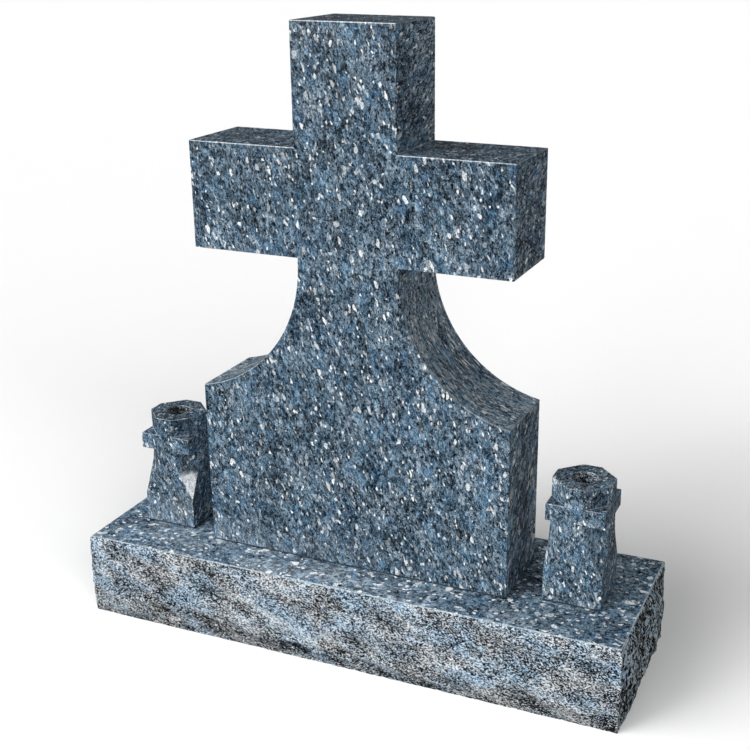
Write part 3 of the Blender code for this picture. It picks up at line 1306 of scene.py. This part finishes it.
def towards(azimuth: float, elevation: float) -> Vector:
    """Direction out from the headstone.

    Args:
        azimuth: Radians round to the right from straight in front.
        elevation: Radians above the horizon.

    Returns:
        A vector of length 1.
    """
    level = math.cos(elevation)
    return Vector((math.sin(azimuth) * level, -math.cos(azimuth) * level, math.sin(elevation)))


def turned_to(direction: Vector) -> Matrix:
    """Turn of a lamp that shines from a direction, or of a camera that looks from there."""
    return direction.to_track_quat("Z", "Y").to_matrix().to_4x4()


def hang_lamp(light: bpy.types.Light, stand: Matrix, lit: bpy.types.Collection) -> Piece:
    """Hangs a lamp that falls on one group of objects alone.

    Args:
        light: The lamp's light.
        stand: The lamp's place and turn.
        lit: What the light falls on.

    Returns:
        The lamp.
    """
    lamp = bpy.data.objects.new(light.name, light)
    bpy.context.scene.collection.objects.link(lamp)
    lamp.matrix_world = stand
    lamp.light_linking.receiver_collection = lit
    return lamp


@dataclass(frozen=True)
class DistantLight:
    """Even soft light from one direction, in degrees, as from a large softbox far off."""

    name: str
    azimuth: float
    elevation: float
    spread: float
    strength: float
    mirrored: bool = True

    def hang(self, lit: bpy.types.Collection) -> None:
        """Adds the light.

        Args:
            lit: What the light falls on.
        """
        light = bpy.data.lights.new(self.name, "SUN")
        light.angle = math.radians(self.spread)
        light.energy = self.strength
        source = towards(math.radians(self.azimuth), math.radians(self.elevation))
        hang_lamp(light, turned_to(source), lit).visible_glossy = self.mirrored


@dataclass(frozen=True)
class MirroredCard:
    """Lit card that shows only as a reflection in polished stone."""

    name: str
    direction: Vector
    aim: Vector
    size: float
    power: float
    distance: float = 2.6

    def hang(self, lit: bpy.types.Collection) -> None:
        """Adds the card.

        Args:
            lit: What mirrors the card.
        """
        light = bpy.data.lights.new(self.name, "AREA")
        light.size = self.size
        light.energy = self.power
        source = self.direction.normalized()
        stand = Matrix.Translation(self.aim + self.distance * source) @ turned_to(source)
        hang_lamp(light, stand, lit).visible_diffuse = False


@dataclass
class Studio:
    """Plain pale floor, soft lights and the camera, placed round the headstone."""

    target: Vector = field(default_factory=lambda: Vector((0.1146, 0.0, 0.504)))
    azimuth: float = 0.3884
    elevation: float = 0.3484
    distance: float = 2.043
    roll: float = 0.0018
    sensor: float = 36.0
    lens: float = 59.08
    shift: tuple[float, float] = (-0.0755, -0.0041)
    floor_radius: float = 60.0
    floor_sides: int = 96
    floor_gap: float = 0.0004
    floor_white: str = "#e9e9e9"
    floor_roughness: float = 0.9
    seen: float = 0.99
    mirrored: float = 0.05
    stone_lights: tuple[DistantLight, ...] = (
        DistantLight("key", -38.0, 17.0, 35.0, 3.6),
        DistantLight("fill from above", 0.0, 90.0, 179.0, 0.95, mirrored=False),
        DistantLight("fill from below", 0.0, -90.0, 179.0, 1.60, mirrored=False),
        DistantLight("fill from the right", 75.0, 25.0, 90.0, 0.35, mirrored=False),
        DistantLight("back fill", 215.0, 12.0, 60.0, 0.9, mirrored=False),
    )
    base_light: DistantLight = DistantLight(
        "light down on the base", -45.0, 62.0, 40.0, 0.85, mirrored=False
    )
    floor_lights: tuple[DistantLight, ...] = (
        DistantLight("floor light, high left", -50.0, 35.0, 45.0, 1.71),
        DistantLight("floor light, low left", -50.0, 20.0, 45.0, 1.83),
        DistantLight("floor light, middle", -20.0, 20.0, 45.0, 2.85),
        DistantLight("floor light, right", 40.0, 20.0, 45.0, 3.72),
    )
    arris_card: MirroredCard = MirroredCard(
        "overhead card", Vector((-0.35, -0.34, 0.87)), Vector((0.0, 0.0, 0.5)), 1.6, 220.0
    )
    facet_card: MirroredCard = MirroredCard(
        "facet card", Vector((0.79, -0.555, 0.288)), Vector((-0.343, -0.048, 0.238)), 0.45, 30.0
    )

    def build(self, base: Piece, faceted: Piece, others: Sequence[Piece]) -> None:
        """Makes the floor, the camera, the lights and the surroundings.

        Args:
            base: The base, which gets a light of its own from above.
            faceted: The one piece whose facet mirrors a card of its own.
            others: The headstone's other pieces.
        """
        stone_group = self.group("stones", (base, faceted, *others))
        floor_group = self.group("stage", [self.floor()])
        for light in self.stone_lights:
            light.hang(stone_group)
        self.arris_card.hang(self.group("stones on the base", (faceted, *others)))
        self.base_light.hang(self.group("base", [base]))
        self.facet_card.hang(self.group("faceted piece", [faceted]))
        for light in self.floor_lights:
            light.hang(floor_group)
        self.camera()
        self.world()
        view = bpy.context.scene.view_settings
        view.view_transform = "Standard"
        view.look = "None"

    def group(self, name: str, members: Iterable[Piece]) -> bpy.types.Collection:
        """Puts objects in a collection, so that a light can fall on them alone.

        Args:
            name: The collection's name.
            members: The objects.

        Returns:
            The collection.
        """
        collection = bpy.data.collections.new(name)
        bpy.context.scene.collection.children.link(collection)
        for member in members:
            collection.objects.link(member)
        return collection

    def floor(self) -> Piece:
        """Lays a round white floor that throws no light back at the stones.

        Returns:
            The floor.
        """
        bpy.ops.object.select_all(action="DESELECT")
        bpy.ops.mesh.primitive_circle_add(
            vertices=self.floor_sides,
            radius=self.floor_radius,
            fill_type="NGON",
            location=-self.floor_gap * UP,
        )
        floor = settle(bpy.context.active_object, "floor")
        material, shader = stone_material("matt white studio floor")
        matt = {"Roughness": self.floor_roughness, "Specular IOR Level": 0.0}
        wire(shader, {"Base Color": linear(self.floor_white), **matt})
        floor.data.materials.append(material)
        floor.visible_diffuse = False
        floor.visible_glossy = False
        return floor

    def camera(self) -> None:
        """Places the camera where the photograph was taken from."""
        back = towards(self.azimuth, self.elevation)
        camera = bpy.data.objects.new("camera", bpy.data.cameras.new("camera"))
        bpy.context.scene.collection.objects.link(camera)
        turn = turned_to(back) @ Matrix.Rotation(self.roll, 4, "Z")
        camera.matrix_world = Matrix.Translation(self.target + self.distance * back) @ turn
        camera.data.sensor_width = self.sensor
        camera.data.lens = self.lens
        camera.data.shift_x, camera.data.shift_y = self.shift
        bpy.context.scene.camera = camera

    def world(self) -> None:
        """Surrounds the stones with white that the camera sees and the polish mirrors faintly."""
        world = bpy.data.worlds.new("studio")
        world.use_nodes = True
        tree = world.node_tree
        path = add_node(tree, "LightPath").outputs
        rays = ((path["Is Camera Ray"], self.seen), (path["Is Glossy Ray"], self.mirrored))
        strength = weighted_sum(tree, rays, 0.0)
        wire(tree.nodes["Background"], {"Color": linear("#ffffff"), "Strength": strength})
        bpy.context.scene.world = world


def main() -> None:
    """Builds the stones and the studio."""
    logging.basicConfig(level=logging.INFO, format="%(name)s: %(message)s")
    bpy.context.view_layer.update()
    base = RockFacedBase().build()
    tablet = CrossTablet().build()
    left_vase, right_vase = FlowerVase().build()
    Studio().build(base, left_vase, (tablet, right_vase))


if __name__ == "__main__":
    main()
